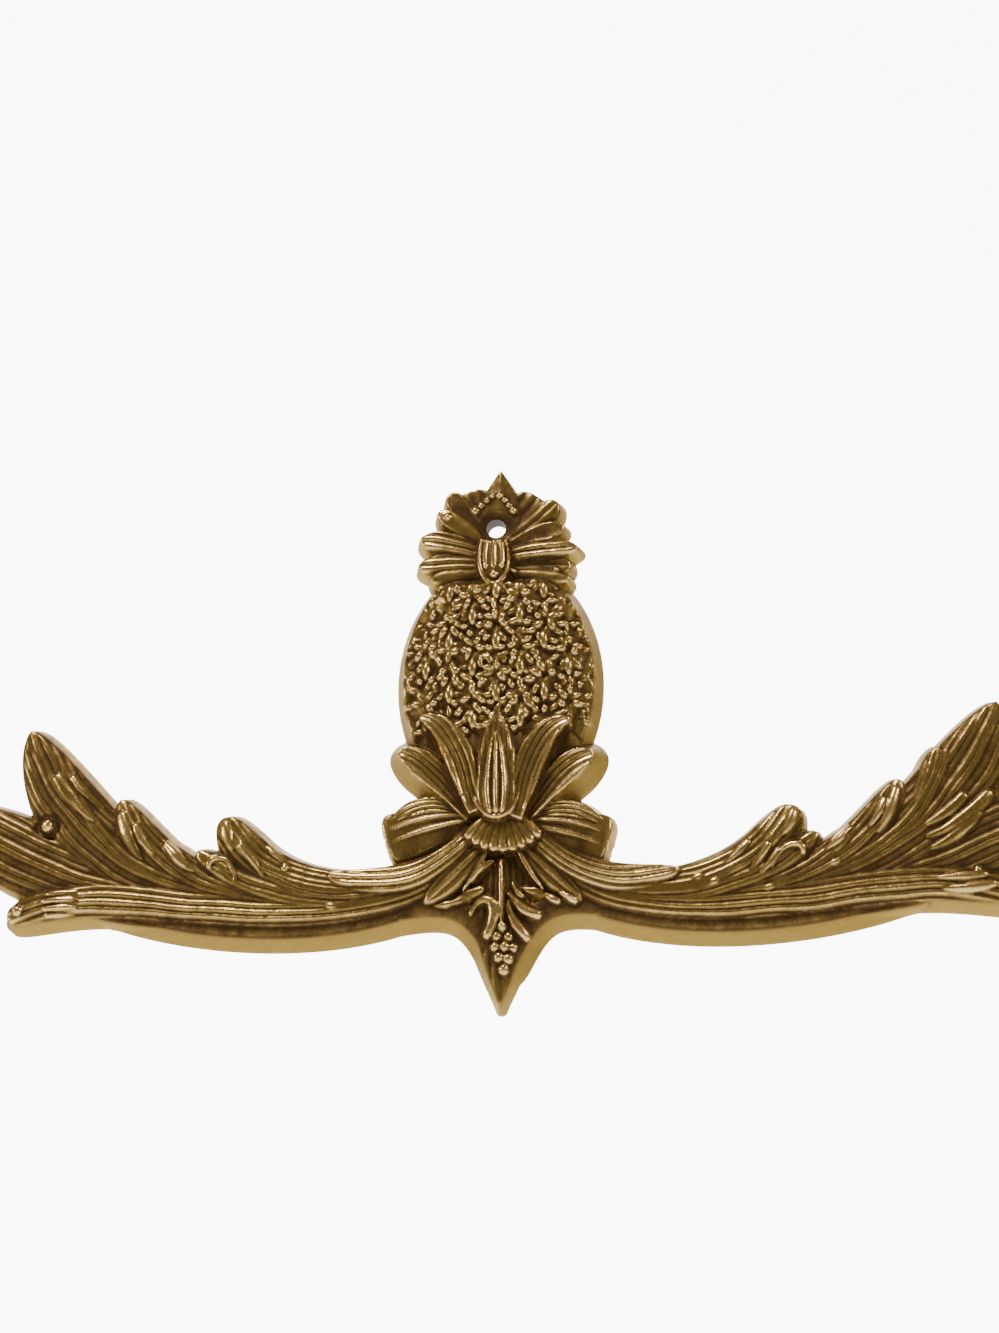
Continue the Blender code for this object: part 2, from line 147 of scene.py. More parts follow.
# Wear, patina and painted shade: widths in millimetres, and how much each cause darkens
BROAD_WIDTH = 1.5
BROAD_DARK = 0.6
WIDE_WIDTH = 3.5
WIDE_DARK = 0.3
FINE_WIDTH = 0.4
FINE_DARK = 3.0
# Painted shade along the outline edges: its width and how much it darkens
EDGE_SHADE_WIDTH = 0.6
EDGE_SHADE_DARK = 1.1
HOLE_SHADOW_WIDTH = 2.0  # width of the painted shadow ring round the nail hole
HOLE_SHADOW_DARK = 0.7
LEDGE_SLOPE = 0.8  # a wall that faces up gets painted shade when it is steeper than this
LEDGE_WIDTH = 0.5
LOW_LEVEL = 7.9  # front lower than this is darker, in millimetres above the back
LOW_SPREAD = 2.1
LOW_DARK = 0.32
MOST_DARKENING = 0.45
RIM_LEVEL = 4.5  # height that the wear takes for the open space round the casting
BARE_WIDTH = 0.2
BACK_TOLERANCE = 0.01
HOLE_MARGIN = 0.1

RIGHT = 1
LEFT = -1
NO_OFFSETS = {RIGHT: (0.0, 0.0), LEFT: (0.0, 0.0)}
CALYX_OFFSETS = {RIGHT: (-1.3, -0.3), LEFT: (-1.9, 1.4)}
WING_OFFSETS = {RIGHT: (0.0, 0.3), LEFT: (-0.3, 0.9)}


class Leaf(NamedTuple):
    """One carved leaf. Its path is a Bezier curve in the wall plane, from root to tip."""

    path: tuple  # control points (x, z)
    width: float  # greatest half width
    peak: float  # where along the path it is widest, from 0 to 1
    root: float  # half width at the root, as a share of the greatest
    point: float  # tip shape: 0.5 is round, 1 is pointed
    edge: float  # height of its edges above the back
    rise: float  # how much higher its crest is
    ribs: int = 1  # broad raised ribs across it
    rib: float = 0.0  # depth of the hollows between the ribs
    spacing: float = 0.0  # distance from one fine strand to the next
    strand: float = 0.0  # depth of the cuts between the strands
    puff: float = 0.0  # extra swelling just before the tip
    dish: float = 0.0  # depth of a hollow along its middle
    lip: float = 0.0  # height of a thin raised rim along its edges
    draft: float = WALL_DRAFT
    sharp: float = 0.0  # share of its draft that is lost at the tip
    mirrored: bool = True


def single(*values, **more):
    """A leaf that is cast once and not mirrored."""
    return Leaf(*values, mirrored=False, **more)


# The leaves. Each row gives the path, half width, peak, root, point, edge and rise of a Leaf, and then
# by name what else it has
CROWN = (
    single(((-0.6, 32), (-0.5, 44), (-0.2, 55.3)), 6.2, 0.3, 0.7, 1.1, 5.6, 1.2,
           ribs=2, rib=0.5, draft=1.2, sharp=0.5),
    single(((1, 35), (5, 41), (9.4, 47.3)), 5.0, 0.8, 0.4, 0.35, 5.2, 0.8,
           spacing=2.8, strand=0.4, lip=0.3),
    single(((1, 34), (8, 38), (14.9, 45.3)), 3.4, 0.75, 0.4, 0.5, 5.5, 1.1,
           spacing=2.4, strand=0.4, lip=0.3),
    single(((1, 32), (8, 35.5), (16.8, 38.0)), 2.8, 0.7, 0.5, 0.6, 6.0, 1.2, dish=0.6, lip=0.4),
    single(((1.5, 30), (10, 32.5), (20.6, 31.6)), 3.2, 0.6, 0.5, 0.75, 6.2, 1.4,
           spacing=2.2, strand=0.8, lip=0.3),
    single(((2, 27), (9, 27.6), (18.4, 26.8)), 3.2, 0.7, 0.5, 0.5, 5.8, 1.0,
           spacing=2.4, strand=0.4, dish=0.5),
    single(((2, 25), (9, 24.4), (18.0, 22.8)), 2.0, 0.7, 0.6, 0.5, 6.4, 0.9),
    single(((-3, 37), (-6, 42), (-8.4, 49.5)), 4.6, 0.8, 0.4, 0.35, 5.2, 0.8,
           spacing=2.8, strand=0.4, lip=0.3),
    single(((-4, 36), (-9, 40), (-13.9, 49.1)), 2.8, 0.8, 0.4, 0.45, 5.5, 1.0, dish=0.5, lip=0.4),
    single(((-4, 34), (-10, 38.5), (-17.1, 43.6)), 2.6, 0.75, 0.4, 0.5, 5.9, 1.2, lip=0.3),
    single(((-4, 30), (-12, 34.5), (-22.1, 35.6)), 3.4, 0.7, 0.5, 0.6, 6.1, 1.4,
           spacing=2.2, strand=0.8, lip=0.3),
    single(((-4, 27), (-12, 29.5), (-22.4, 27.9)), 3.0, 0.7, 0.5, 0.55, 6.1, 1.2,
           spacing=2.2, strand=0.6, lip=0.3),
    single(((-4, 25), (-11, 25.6), (-19.1, 24.1)), 2.4, 0.7, 0.5, 0.5, 6.3, 0.9),
)

BUD = (
    single(((-1.8, 35), (-1.8, 29), (-1.8, 21.4)), 4.4, 0.62, 0.6, 0.6, 8.0, 1.3),
    single(((-1.8, 35), (-1.8, 30), (-1.8, 25.8)), 0.9, 0.85, 0.5, 0.4, 9.0, 0.8),
    single(((-3.2, 34.5), (-4.6, 31), (-4.0, 26.6)), 0.75, 0.8, 0.5, 0.4, 8.9, 0.8),
    single(((-0.4, 34.5), (1.0, 31), (0.4, 26.6)), 0.75, 0.8, 0.5, 0.4, 8.9, 0.8),
    single(((-5.0, 34.5), (-9.0, 17.4), (5.4, 17.4), (1.4, 34.5)), 0.8, 0.5, 0.7, 0.5, 8.6, 1.2),
)

CALYX = (
    Leaf(((7, -43), (17, -43.8), (28.4, -47.3)), 6.4, 0.9, 0.3, 0.3, 6.4, 0.8, draft=1.0),
    Leaf(((6, -42.5), (14, -43.6), (21, -45.4), (27.4, -48.4)), 0.8, 0.5, 0.5, 0.6, 6.8, 0.9),
    Leaf(((6, -41.6), (15, -40.8), (21, -41.8), (27.8, -45.4)), 1.3, 0.6, 0.5, 0.8, 6.8, 1.1,
         ribs=2, rib=0.6),
    Leaf(((6, -41), (14, -37.6), (20.5, -37.3), (27.2, -42.6)), 2.3, 0.6, 0.5, 0.75, 6.8, 1.3,
         spacing=1.2, strand=0.6, dish=0.5, lip=0.4),
    Leaf(((6, -41.5), (13.5, -33), (17.5, -26.4), (25.0, -24.5)), 3.9, 0.66, 0.45, 0.6, 7.6, 1.7,
         spacing=1.5, strand=0.5, dish=1.1, lip=0.6, draft=3.4),
    Leaf(((4.5, -41), (8.2, -31), (9.0, -17.5), (19.4, -15.6)), 3.9, 0.5, 0.5, 0.7, 10.0, 1.5,
         spacing=1.5, strand=0.6, dish=1.0, lip=0.5),
    single(((0.3, -34), (0.3, -25), (0.3, -11.6)), 5.3, 0.25, 0.9, 0.95, 10.3, 1.2,
           spacing=1.3, strand=0.6, dish=0.5, lip=0.4),
    single(((0.1, -41.6), (0.1, -33), (0.1, -17.4)), 5.8, 0.38, 0.0, 0.75, 9.6, 2.9, ribs=5, rib=1.1),
    single(((-5.7, -33.5), (-5.2, -43.4), (5.4, -43.4), (5.9, -33.5)), 0.85, 0.5, 0.7, 0.5, 9.6, 1.5),
)

DROP = (
    single(((-17, -57), (17, -57)), 4.6, 0.5, 0.6, 0.5, 5.2, 0.2, draft=DROP_DRAFT),
    Leaf(((27, -63.4), (12, -61.2), (6, -63.2), (1.5, -80)), 3.0, 0.4, 1.0, 0.5, 5.4, 0.6,
         draft=DROP_DRAFT),
    single(((-0.2, -48), (-0.5, -62), (-1.0, -88.8)), 7.9, 0.34, 0.6, 1.1, 5.4, 0.9,
           spacing=2.0, strand=0.5, draft=DROP_DRAFT, sharp=0.5),
    Leaf(((4, -47), (10, -53), (14, -57), (20.0, -62.4)), 3.6, 0.55, 0.5, 0.7, 6.2, 1.7, ribs=3, rib=0.6),
    Leaf(((3, -47.6), (5.5, -52), (6.5, -55), (10.5, -59.6)), 1.0, 0.5, 0.6, 0.6, 6.2, 1.6),
    single(((-0.3, -51), (-0.3, -60), (-0.3, -69)), 0.95, 0.4, 0.7, 0.6, 6.8, 1.7),
)

# The short ribs that fan out below the bulb
COLLAR_CENTRE = (0.3, -36.5)
COLLAR_INNER = 4.2
COLLAR_OUTER = 13.8
COLLAR_SPACING = 11.2  # degrees from one rib to the next
COLLAR_RIBS = 9
COLLAR_HALF_WIDTH = 1.75
COLLAR_EDGE = 7.4
COLLAR_RISE = 2.0

WING = (
    Leaf(((9, -55), (20, -68.0), (52, -73.0), (84, -67.6), (104, -62.4)), 2.6, 0.5, 0.8, 0.5, 4.8, 0.9,
         draft=RIM_DRAFT),
    Leaf(((40, -63), (90, -65), (122, -54), (148.0, -34)), 9.4, 0.72, 0.35, 0.7, 5.0, 1.8,
         ribs=3, rib=0.5, spacing=1.7, strand=0.45),
    single(((32, -62), (84, -66), (112, -50), (125.7, -14.3)), 9.8, 0.72, 0.3, 0.64, 5.2, 1.9,
           ribs=3, rib=0.6, spacing=1.7, strand=0.45),
    single(((-32, -61.4), (-84, -65.4), (-113.5, -49.4), (-126.1, -13.6)), 9.0, 0.72, 0.3, 0.64, 5.2, 1.9,
           ribs=3, rib=0.6, spacing=1.7, strand=0.45),
    single(((89, -58), (102, -48), (107, -37.5), (110.4, -25.6)), 3.4, 0.75, 0.4, 0.5, 5.2, 1.8,
           spacing=1.6, strand=0.4),
    single(((40, -62), (86, -64), (106, -47.5), (112.4, -25.8)), 3.5, 0.8, 0.4, 0.6, 5.3, 1.9,
           spacing=1.6, strand=0.4),
    single(((-40, -61.4), (-87, -63.4), (-108, -47.5), (-114.4, -25.6)), 3.1, 0.8, 0.4, 0.6, 5.3, 1.9,
           spacing=1.6, strand=0.4),
    Leaf(((16, -57), (62, -68), (91, -58.3), (100.2, -33.8)), 5.3, 0.76, 0.3, 0.52, 5.6, 1.8,
         ribs=2, rib=0.5, spacing=1.5, strand=0.45, puff=0.6),
    Leaf(((22, -59), (58, -67), (79, -58), (88.9, -45.3)), 3.3, 0.8, 0.4, 0.5, 5.6, 1.7,
         spacing=1.5, strand=0.45, puff=0.5),
    single(((9, -49), (24, -65.4), (62.4, -64.2), (73.9, -39.8)), 5.4, 0.84, 0.4, 0.42, 6.0, 1.8,
           ribs=2, rib=0.5, spacing=1.5, strand=0.45, puff=0.5),
    single(((-9, -47.4), (-27, -62.4), (-61.4, -63.8), (-72.7, -38.9)), 5.4, 0.84, 0.4, 0.42, 6.0, 1.8,
           ribs=2, rib=0.5, spacing=1.5, strand=0.45, puff=0.5),
    Leaf(((12, -53), (26, -62), (51, -64.0), (61.4, -52.6)), 2.9, 0.8, 0.4, 0.5, 6.0, 1.7,
         spacing=1.5, strand=0.45),
    single(((14, -55), (36, -67), (64, -62.5), (79.2, -46.8)), 3.7, 0.8, 0.4, 0.5, 6.1, 1.5,
           spacing=2.2, strand=0.4, puff=0.3),
    single(((-14, -54.4), (-36, -66.4), (-64, -62.5), (-79.5, -47.5)), 3.7, 0.8, 0.4, 0.5, 6.1, 1.5,
           spacing=2.2, strand=0.4, puff=0.3),
    Leaf(((9, -48), (18, -66.6), (64, -73.4), (98, -50.5), (128.7, -64.8)), 4.4, 0.86, 0.6, 0.35, 6.2, 1.2,
         spacing=1.8, strand=0.65, puff=0.4, draft=2.3),
    Leaf(((7, -44.5), (16, -56), (28, -60.2), (44.5, -55.6)), 3.8, 0.6, 0.4, 0.5, 7.2, 1.4,
         spacing=1.6, strand=0.7),
)

# Plump rolls and curls: half width, rise, path
ROLLS = (
    # Lobes of the right wing
    (1.5, 1.1, ((106, -45.5), (111, -43.5), (115.5, -38.6))),
    (1.8, 1.3, ((106, -48.5), (114, -46.0), (122.0, -38.4))),
    (1.6, 1.2, ((107, -51.5), (113, -49.5), (118.6, -43.0))),
    (1.6, 1.1, ((94, -47), (97.6, -43.0), (99.0, -36.6))),
    (1.2, 1.0, ((92, -45.5), (94.6, -42.5), (95.8, -39.0))),
    (1.3, 1.0, ((81, -51), (84.2, -49.0), (86.4, -45.6))),
    (1.6, 1.1, ((70.8, -47), (73.0, -44.5), (73.6, -41.4))),
    (1.0, 0.8, ((62.0, -56.0), (64.5, -53.5), (66.8, -50.0))),
    (1.0, 0.8, ((64.4, -57.2), (67.0, -54.4), (69.2, -51.4))),
    (0.95, 1.2, ((67.6, -55.4), (69.6, -49.0), (75.4, -47.8), (75.6, -51.8))),
    (1.0, 0.8, ((56, -54), (59, -51.6), (61.6, -48.8))),
    (1.3, 0.9, ((108, -59.0), (113, -58.6), (119.2, -58.2))),
    (1.4, 1.0, ((109, -61.8), (114, -62.4), (121.0, -60.8))),
    # Lobes of the left wing
    (1.7, 1.1, ((-107, -38.5), (-112.5, -34.5), (-117.4, -26.8))),
    (1.2, 0.9, ((-105, -35.0), (-109.5, -31.5), (-113.4, -26.8))),
    (1.9, 1.3, ((-94, -49), (-98.0, -44.5), (-99.8, -37.8))),
    (1.3, 1.0, ((-90.5, -48), (-93.8, -45.0), (-95.4, -40.6))),
    (1.6, 1.1, ((-80, -52.5), (-84, -50), (-87.0, -45.2))),
    (1.9, 1.2, ((-70.0, -47.4), (-71.8, -44.4), (-71.8, -40.8))),
    (1.1, 0.8, ((-61.5, -54.4), (-64.2, -50.6), (-67.4, -46.4))),
    (0.95, 1.2, ((-68.8, -55.6), (-69.4, -48.6), (-75.4, -47.4), (-76.0, -51.6))),
    (1.3, 0.9, ((-55.4, -51.8), (-58.0, -48.8), (-60.2, -46.2))),
    (0.9, 0.8, ((-110, -57.4), (-114, -57.2), (-118.0, -57.6))),
    (0.9, 0.9, ((-110, -59.4), (-114, -59.2), (-118.8, -59.6))),
    (0.9, 0.9, ((-110, -61.4), (-114, -61.4), (-118.6, -61.6))),
    (0.9, 0.8, ((-111, -63.4), (-114, -63.4), (-118.0, -63.4))),
    # Small bars between the leaves
    (0.9, 0.5, ((47.4, -58.0), (49.8, -57.0))),
    (0.8, 0.5, ((51.8, -59.4), (53.8, -58.4))),
    (0.8, 0.5, ((65.0, -60.8), (67.4, -60.2))),
    (0.8, 0.5, ((81.4, -55.2), (83.8, -54.2))),
    (0.8, 0.5, ((-42.0, -62.8), (-44.6, -62.6))),
    # Curls on the drop
    (1.7, 1.9, ((-8.2, -65.4), (-6.2, -59.6), (-1.8, -60.8), (-0.9, -64.4), (-3.9, -70.4))),
    (1.7, 1.9, ((1.4, -60.4), (3.6, -62.6), (5.2, -65.2), (8.6, -65.6))),
    (1.5, 1.7, ((1.6, -62.0), (1.0, -65.6), (3.6, -68.8), (6.0, -71.4))),
    (1.6, 1.5, ((-13.6, -62.8), (-9.8, -60.9), (-5.8, -59.2))),
    (1.0, 1.0, ((-17.2, -63.0), (-14.8, -63.0), (-13.4, -62.4))),
    (1.0, 1.2, ((-7.8, -57.8), (-6.4, -54.4), (-2.8, -52.0))),
    (1.0, 1.2, ((2.4, -57.6), (3.4, -60.0), (4.8, -61.0))),
    (1.4, 1.5, ((4.8, -59.0), (7.2, -59.6), (9.6, -60.6))),
    (1.2, 1.4, ((9.6, -60.0), (11.6, -61.4), (13.8, -62.4))),
    (1.0, 1.3, ((14.2, -60.4), (16.2, -61.6), (18.2, -62.6))),
)

# The large bead on the left wing, with a groove round it like the white of an eye
EYE = (-119.8, -39.6)
EYE_RADIUS = 2.8
EYE_WIDTH = 0.9
EYE_DEPTH = 0.6

# Round beads: x, z and radius
BEADS = (
    # Wings
    (*EYE, 2.0), (-126.2, -61.8, 1.5), (85.6, -46.8, 1.1), (117.8, -57.0, 1.1), (-56.0, -52.4, 1.0),
    # Gable of the crown
    (-7.0, 43.4, 1.1), (-5.5, 44.9, 0.9), (-4.0, 46.3, 0.9), (-2.4, 47.5, 0.8),
    (-0.5, 47.4, 1.0), (1.0, 46.0, 0.8), (2.1, 44.5, 0.8), (3.2, 43.0, 1.05),
    # Leaves and bud below the nail hole
    (-14.4, 41.8, 1.0), (14.4, 25.8, 0.8), (3.4, 25.6, 0.9),
    (-4.0, 26.6, 0.7), (0.4, 26.6, 0.7), (-1.8, 24.2, 1.1),
    # Berries of the drop
    (-0.2, -68.8, 1.4), (-1.6, -71.1, 1.3), (1.4, -71.3, 1.3), (-2.1, -73.7, 1.3), (0.4, -73.7, 1.4),
    (2.5, -74.0, 1.2), (-1.1, -76.3, 1.4), (1.3, -76.8, 1.4), (0.1, -79.4, 1.5),
)


def bezier(path, u):
    """Points of the Bezier curve with these control points, by repeated blending of neighbours."""
    points = [np.outer(np.ones_like(u), point) for point in path]
    while len(points) > 1:
        points = [start * (1 - u[:, None]) + end * u[:, None] for start, end in zip(points, points[1:])]
    return points[0]


def half_width(leaf, u):
    """Half the leaf's width at u: it swells from the root to its widest place and closes at the tip."""
    along = np.clip(u / leaf.peak, 0, 1)
    swell = np.sin(0.5 * np.pi * along) if leaf.root else np.sqrt(1 - (1 - along) ** 2)
    past = np.clip((u - leaf.peak) / (1 - leaf.peak), 0, 1)
    return np.where(
        u < leaf.peak,
        leaf.width * (leaf.root + (1 - leaf.root) * swell),
        leaf.width * (1 - past**2) ** leaf.point,
    )


def crest_height(leaf, u, t, wobble):
    """Height of the leaf's front at u along it and t, from -1 to 1, across it."""
    half = half_width(leaf, u)
    fade = np.sqrt(half / leaf.width) * np.clip(u / ROOT_FADE, 0, 1)
    height = leaf.rise * (1 - np.abs(t) ** CROWN_POWER)
    if leaf.ribs > 1:
        height = height + leaf.rib * 0.5 * (np.cos(np.pi * leaf.ribs * t) - 1) * (1 - t * t)
    if leaf.spacing:
        spacing = leaf.spacing * (STRAND_START + STRAND_GROWTH * u)
        cut = np.abs(np.sin(np.pi * t * half / spacing + wobble))
        height = height + leaf.strand * (cut**STRAND_POWER - 1)
    if leaf.puff:
        height = height + leaf.puff * np.exp(-(((u - PUFF_PLACE) / PUFF_LENGTH) ** 2)) * (1 - t * t)
    height = height - leaf.dish * np.clip(1 - DISH_FALL * t * t, 0, 1)
    height = height + leaf.lip * np.exp(-(((np.abs(t) - LIP_PLACE) / LIP_WIDTH) ** 2))
    return leaf.edge + fade * height


class Relief:
    """The height of the front above the wall plane, in millimetres, over a grid of x and z."""

    def __init__(self):
        self.x = np.arange(GRID_LEFT, GRID_RIGHT, CELL)
        self.z = np.arange(GRID_BOTTOM, GRID_TOP, CELL)
        shape = (len(self.z), len(self.x))
        self.height = np.full(shape, BELOW)
        self.covered = np.zeros(shape)
        self.wobble = smooth_noise(
            self.x[None, :], self.z[:, None], shortest=12, longest=30, waves=16, seed=3
        )

    def window(self, low, high):
        """The part of the grid inside a box, as slices, and its coordinates."""
        i = slice(*np.searchsorted(self.z, (low[1], high[1])))
        j = slice(*np.searchsorted(self.x, (low[0], high[0])))
        x, z = np.meshgrid(self.x[j], self.z[i])
        return (i, j), x, z

    def add_leaf(self, leaf, side, offset):
        """One leaf with its side walls: the higher of it and what is already there stays."""
        u = np.linspace(0, 1, PATH_SAMPLES)
        centre = bezier(leaf.path, u) * (side, 1) + offset
        ahead = np.gradient(centre, axis=0)
        step = np.hypot(*ahead.T)
        ahead = ahead / step[:, None]
        normal = np.stack([-ahead[:, 1], ahead[:, 0]], 1)
        half = half_width(leaf, u)[:, None]
        outline = np.concatenate([centre + normal * half, (centre - normal * half)[::-1]])
        reach = WALL_REACH * leaf.draft + WALL_MARGIN
        where, x, z = self.window(outline.min(0) - reach, outline.max(0) + reach)

        point = np.stack([x.ravel(), z.ravel()], 1)
        nearest, distance = nearest_sample(point, centre)
        close = distance < leaf.width + reach
        point, nearest = point[close], nearest[close]
        away = point - centre[nearest]
        across = (away * normal[nearest]).sum(1)
        past = (away * ahead[nearest]).sum(1)
        here = u[nearest] + np.clip(past / step[nearest], -1, 1) / (PATH_SAMPLES - 1)
        here = np.clip(here, 0, 1)
        share = across / np.maximum(half_width(leaf, here), LEAST)
        before_root = (nearest == 0) & (past < -END_TOLERANCE)
        past_tip = (nearest == PATH_SAMPLES - 1) & (past > END_TOLERANCE)
        inside = (np.abs(share) <= 1) & ~before_root & ~past_tip

        value = np.empty(len(point))
        wobble = STRAND_WOBBLE * self.wobble[where].ravel()[close]
        value[inside] = crest_height(leaf, here[inside], share[inside] * side, wobble[inside])
        gap = outline_distance(point[~inside], outline)
        tip = np.clip((here[~inside] - TIP_START) / (1 - TIP_START), 0, 1)
        value[~inside] = leaf.edge * (1 - gap / (leaf.draft * (1 - leaf.sharp * tip)))

        cover = np.empty(len(point))
        cover[inside] = 0.5 + (1 - np.abs(share[inside])) * half_width(leaf, here[inside]) / CELL
        cover[~inside] = 0.5 - gap / CELL

        height = self.height[where].ravel()
        covered = self.covered[where].ravel()
        height[close] = np.maximum(height[close], value)
        covered[close] = np.maximum(covered[close], np.clip(cover, 0, 1))
        self.height[where] = height.reshape(x.shape)
        self.covered[where] = covered.reshape(x.shape)

    def add_roll(self, path, width, rise, ground):
        """A plump roll on the smoothed ground: its path is a Bezier curve from its start to its tip."""
        u = np.linspace(0, 1, PATH_SAMPLES)
        centre = bezier(path, u)
        where, x, z = self.window(centre.min(0) - width, centre.max(0) + width)
        point = np.stack([x.ravel(), z.ravel()], 1)
        nearest, distance = nearest_sample(point, centre)
        along = u[nearest]
        closing = np.sqrt(1 - np.clip((along - ROLL_PEAK) / ROLL_CLOSING, 0, 1) ** 2)
        swell = np.clip(along / ROLL_PEAK, 0, 1) ** ROLL_POWER * closing
        half = width * (ROLL_THIN + (1 - ROLL_THIN) * swell)
        crest = rise * (ROLL_LOW + (1 - ROLL_LOW) * swell)
        bulge = np.sqrt(np.clip(1 - (distance / half) ** 2, 0, 1)) * crest
        bulge = bulge.reshape(x.shape)
        raised = np.maximum(self.height[where], ground[where] + bulge)
        self.height[where] = np.where(bulge > 0, raised, self.height[where])

    def add_dome(self, x0, z0, angle, long, wide, base, rise):
        """A small rounded bump on a base height or field: long and wide are its half axes."""
        reach = max(long, wide)
        where, x, z = self.window((x0 - reach, z0 - reach), (x0 + reach, z0 + reach))
        cos, sin = math.cos(angle), math.sin(angle)
        a = ((x - x0) * cos + (z - z0) * sin) / long
        b = (-(x - x0) * sin + (z - z0) * cos) / wide
        inside = a * a + b * b < 1
        below = base[where] if isinstance(base, np.ndarray) else base
        value = below + rise * np.sqrt(np.clip(1 - a * a - b * b, 0, 1))
        self.height[where] = np.where(inside, np.maximum(self.height[where], value), self.height[where])


def smooth_noise(x, z, shortest, longest, waves, seed):
    """A sum of sine waves with lengths between two limits, in millimetres, scaled to about -1 to 1."""
    rng = np.random.default_rng(seed)
    total = 0.0
    for _ in range(waves):
        length = rng.uniform(shortest, longest)
        angle, phase = rng.uniform(0, 2 * math.pi, 2)
        frequency = 2 * math.pi / length
        total = total + np.sin(frequency * (x * math.cos(angle) + z * math.sin(angle)) + phase)
    return total / math.sqrt(waves)


def nearest_sample(point, samples):
    """For each point the index of the nearest sample and the distance to it."""
    index = np.empty(len(point), int)
    distance = np.empty(len(point))
    block = 20000
    for start in range(0, len(point), block):
        piece = point[start:start + block]
        squares = (piece[:, :1] - samples[:, 0]) ** 2 + (piece[:, 1:] - samples[:, 1]) ** 2
        found = squares.argmin(1)
        index[start:start + block] = found
        distance[start:start + block] = np.sqrt(squares[np.arange(len(piece)), found])
    return index, distance


def outline_distance(point, outline):
    """Distance of each point to a closed outline."""
    nearest, distance = nearest_sample(point, outline)
    for neighbour in (nearest - 1, nearest):
        start = outline[neighbour % len(outline)]
        edge = outline[(neighbour + 1) % len(outline)] - start
        away = point - start
        share = np.clip((away * edge).sum(1) / ((edge * edge).sum(1) + LEAST**2), 0, 1)
        distance = np.minimum(distance, np.hypot(*(away - edge * share[:, None]).T))
    return distance


def blurred(field, sigma):
    """The field smoothed with a Gaussian whose sigma is in millimetres."""
    spread = sigma / CELL
    reach = int(3 * spread) + 1
    kernel = np.exp(-0.5 * (np.arange(-reach, reach + 1) / spread) ** 2)
    kernel /= kernel.sum()
    for axis in (0, 1):
        padded = np.pad(field, [(reach, reach) if k == axis else (0, 0) for k in (0, 1)], mode="edge")
        size = field.shape[axis]
        field = sum(
            weight * np.take(padded, range(number, number + size), axis=axis)
            for number, weight in enumerate(kernel)
        )
    return field


def fruit_height(x, z):
    """Height of the smooth fruit body, at x and z from the middle of the fruit."""
    half = FRUIT_HALF_WIDTH * np.sqrt(np.clip(1 - (z / FRUIT_HALF_HEIGHT) ** 2, FRUIT_END, 1))
    swell = np.clip(1 - np.abs(x / half) ** CROWN_POWER, 0, 1)
    fall = np.clip((FRUIT_TOP - z) / FRUIT_TOP_FALL, 0, 1)
    return FRUIT_EDGE + FRUIT_RISE * np.sqrt(half / FRUIT_HALF_WIDTH) * swell * fall


def mound_share(x, z):
    """How near x and z are to the middle of a fruitlet: 1 at its middle, 0 at the edge of its diamond."""
    share = np.zeros(np.broadcast(x, z).shape)
    for row in SCALE_ROWS:
        for column in SCALE_COLUMNS:
            away_x = np.abs(x - (column + 0.5 * (row % 2)) * SCALE_PITCH_X)
            away_z = np.abs(z - row * SCALE_PITCH_Z)
            share = np.maximum(share, 1 - away_x / (0.5 * SCALE_PITCH_X) - away_z / SCALE_PITCH_Z)
    return share


def scaled_height(x, z):
    """Height of the fruit with its fruitlets swelling between sunken seams, each with a dimple."""
    share = mound_share(x, z)
    dimple = DIMPLE_DEPTH * np.clip((share - DIMPLE_SHARE) / (1 - DIMPLE_SHARE), 0, 1)
    return fruit_height(x, z) + SCALE_RISE * np.sqrt(share) - SCALE_SEAM - dimple


def rim_share(x, z, margin):
    """How near x and z are to the fruit's edge less a margin: 0 in its middle, 1 on that line."""
    return math.hypot(x / (FRUIT_HALF_WIDTH - margin), z / (FRUIT_HALF_HEIGHT - margin))


def add_fruitlet(relief, x, z, rng):
    """One fruitlet: rings of long beads fanned round a dimple, and a smooth tongue that hangs below it."""
    for radius, count in BEAD_RINGS:
        turn = rng.uniform(0, 2 * math.pi)
        for number in range(count):
            angle = turn + 2 * math.pi * (number + rng.uniform(-BEAD_TURN, BEAD_TURN)) / count
            px = radius * math.cos(angle) + rng.uniform(-BEAD_SHIFT, BEAD_SHIFT)
            pz = BEAD_LIFT + radius * math.sin(angle) + rng.uniform(-BEAD_SHIFT, BEAD_SHIFT)
            on_tongue = abs(px) < TONGUE_HALF_WIDTH and pz < BEAD_LIFT - radius * TONGUE_CLEAR
            spread = abs(px) / (0.5 * SCALE_PITCH_X) + abs(pz) / SCALE_PITCH_Z
            outside = spread > rng.uniform(*BEAD_REACH)
            rim = rim_share(x + px, z + pz, BEAD_MARGIN)
            missing = rng.random() > BEAD_SHARE or not BEAD_BOTTOM < z + pz < BEAD_TOP
            if on_tongue or outside or rim > 1 or missing:
                continue
            height = float(scaled_height(x + px, z + pz))
            lean = angle + rng.uniform(-BEAD_LEAN, BEAD_LEAN)
            long, wide = rng.uniform(*BEAD_LONG), rng.uniform(*BEAD_WIDE)
            relief.add_dome(FRUIT_CENTRE_X + x + px, FRUIT_CENTRE_Z + z + pz, lean, long, wide,
                            height - BEAD_SINK, rng.uniform(*BEAD_RISE))
    tongue_z = z - TONGUE_DROP
    if rim_share(x, tongue_z, TONGUE_MARGIN) < 1:
        height = float(scaled_height(x, tongue_z))
        relief.add_dome(FRUIT_CENTRE_X + x, FRUIT_CENTRE_Z + tongue_z, 0.5 * math.pi,
                        TONGUE_HALF_LENGTH, TONGUE_HALF_WIDTH, height, TONGUE_RISE)


